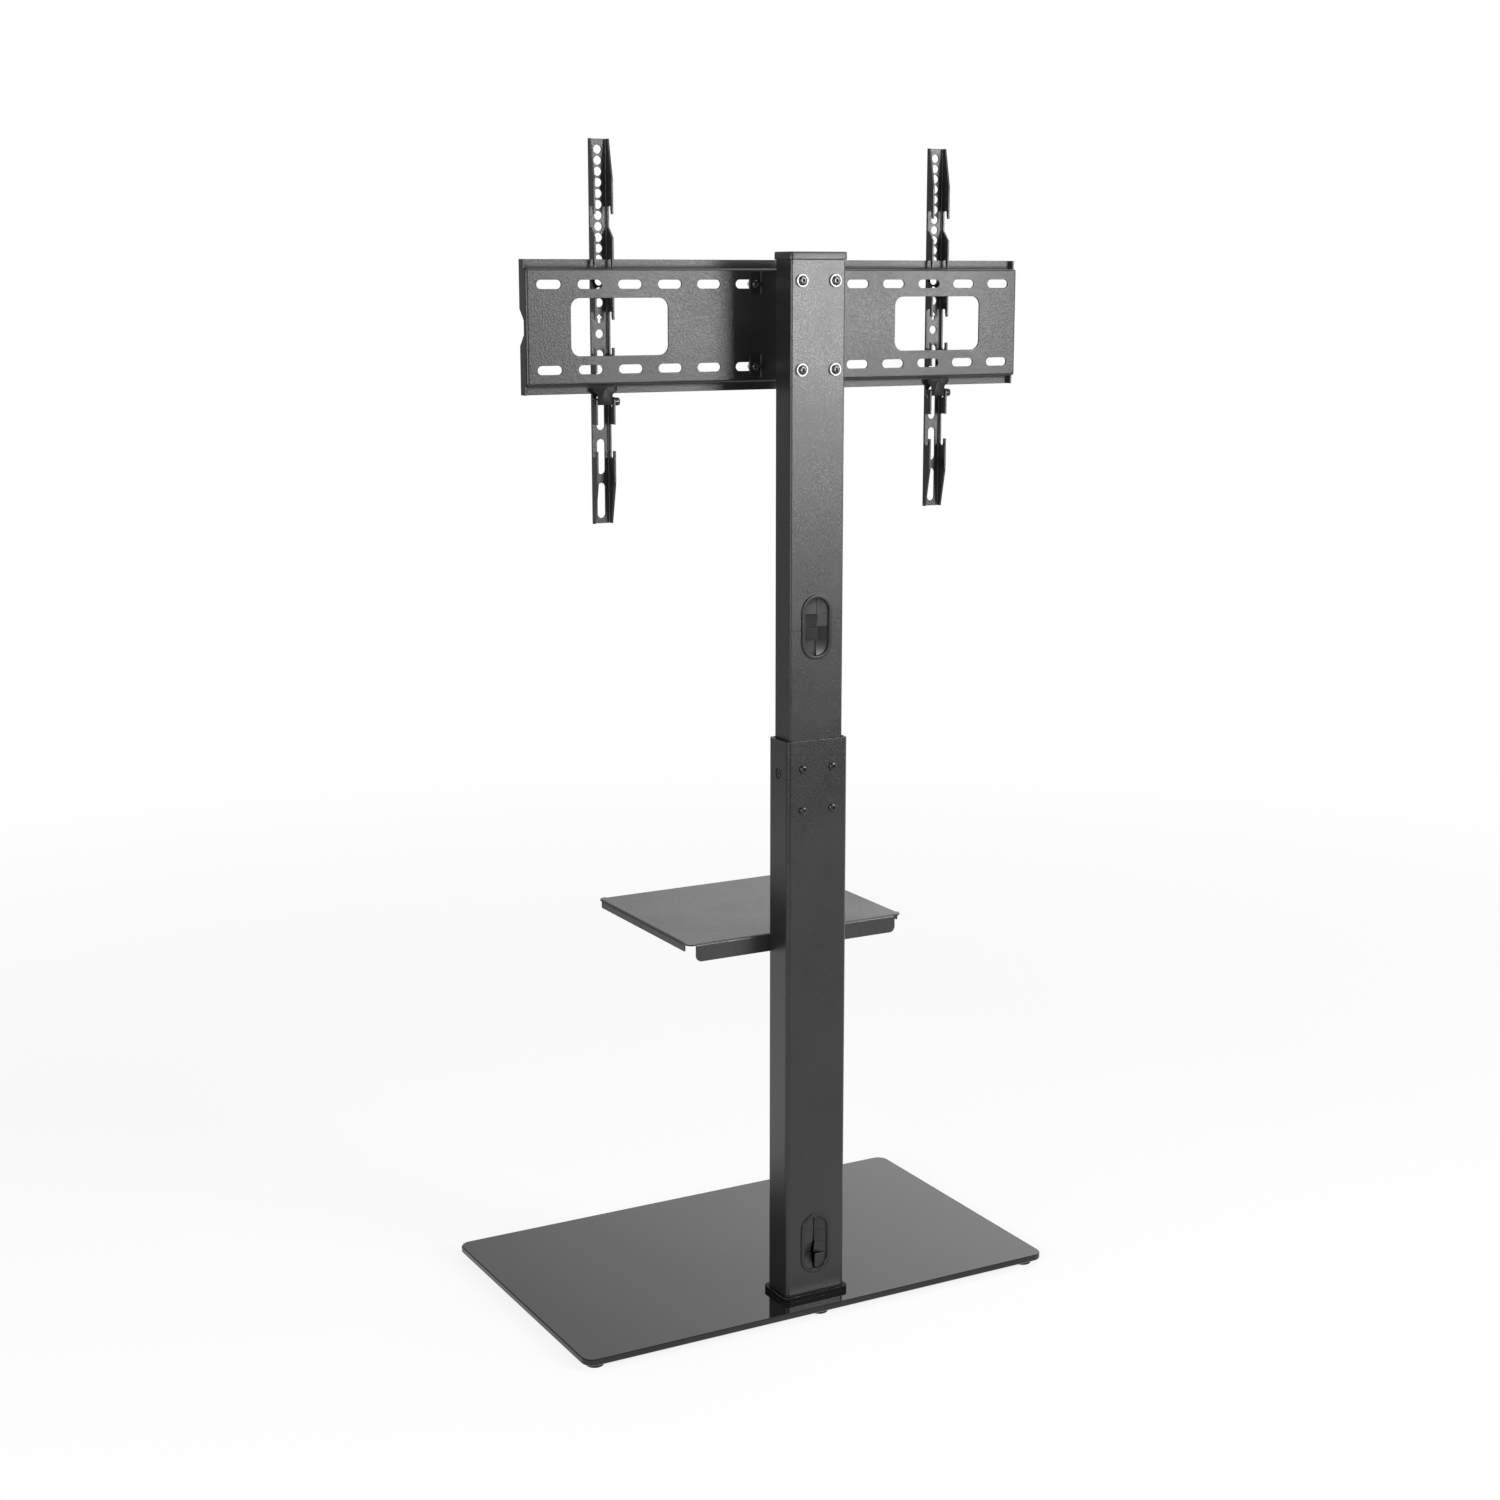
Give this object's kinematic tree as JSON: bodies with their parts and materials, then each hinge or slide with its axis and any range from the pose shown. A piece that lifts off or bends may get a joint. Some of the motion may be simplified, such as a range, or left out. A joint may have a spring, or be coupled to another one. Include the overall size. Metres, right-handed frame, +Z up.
{
  "type": "tv stand with mount",
  "caption": "Floor stand for a flat screen: glass base on rubber feet, telescopic steel column with shelf, slotted plate and two sliding hooked arms with locks.",
  "frame": {"origin": "on the floor, under the centre of the glass base and of the slotted plate", "axes": "+Z up; the screen hangs on the -Y side and the column's cable side faces +Y; +X lies along the slotted plate, to the left of somebody who looks at the cable side"},
  "size_m": [0.656, 0.394, 1.4012],
  "materials": {
    "black_powder_coat": "fine-textured semi-matte powder coat on sheet steel and tube",
    "black_glass": "gloss black tempered glass, painted underneath, polished edge",
    "black_plastic": "moulded, fine matte grain",
    "rubber": "soft moulded rubber",
    "zinc_plated_steel": "bright zinc",
    "blackened_steel": "black zinc, slightly glossy",
    "chrome_plating": "polished"
  },
  "bodies": {
    "base": {"glass_base": "black_glass", "rubber_feet": "rubber", "under_plate": "black_powder_coat", "lower_gasket": "rubber", "upper_gasket": "rubber", "base_bolts": "zinc_plated_steel", "base_collar": "black_plastic", "lower_column": "black_powder_coat", "guide_sleeve": "black_plastic", "side_screw": "blackened_steel", "pressure_plate": "zinc_plated_steel", "clamp_screws": "blackened_steel", "lower_grommet_frame": "black_plastic", "lower_grommet_flaps": "rubber", "shelf": "black_powder_coat", "shelf_screws": "blackened_steel", "shelf_rivet_nuts": "zinc_plated_steel"},
    "mast": {"upper_column": "black_powder_coat", "glide_shoe": "black_plastic", "top_cap": "black_plastic", "upper_grommet_frame": "black_plastic", "upper_grommet_flaps": "rubber", "mount_bracket": "black_powder_coat", "column_bolts": "blackened_steel", "cup_washers": "chrome_plating", "column_nuts": "zinc_plated_steel", "mount_plate": "black_powder_coat", "plate_bolts": "blackened_steel", "plate_nuts": "zinc_plated_steel"},
    "left_arm_body": {"left_arm": "black_powder_coat", "left_lock_bolt": "blackened_steel", "left_lock_nut": "zinc_plated_steel"},
    "right_arm_body": {"right_arm": "black_powder_coat", "right_lock_bolt": "blackened_steel", "right_lock_nut": "zinc_plated_steel"},
    "left_clip_body": {"left_lock_clip": "black_plastic"},
    "right_clip_body": {"right_lock_clip": "black_plastic"}
  },
  "joints": [
    {"name": "height_slide", "type": "slide", "parent": "base", "child": "mast", "axis": [0, 0, 1], "range_m": [-0.085, 0.05]},
    {"name": "left_arm_slide", "type": "slide", "parent": "mast", "child": "left_arm_body", "axis": [1, 0, 0], "range_m": [-0.13, 0.07]},
    {"name": "right_arm_slide", "type": "slide", "parent": "mast", "child": "right_arm_body", "axis": [1, 0, 0], "range_m": [-0.081, 0.119]},
    {"name": "left_clip_hinge", "type": "hinge", "parent": "left_arm_body", "child": "left_clip_body", "pos_m": [0.23, 0.0735, 1.1115], "axis": [-1, 0, 0], "range_deg": [0, 85]},
    {"name": "right_clip_hinge", "type": "hinge", "parent": "right_arm_body", "child": "right_clip_body", "pos_m": [-0.219, 0.0735, 1.1115], "axis": [-1, 0, 0], "range_deg": [0, 85]}
  ]
}
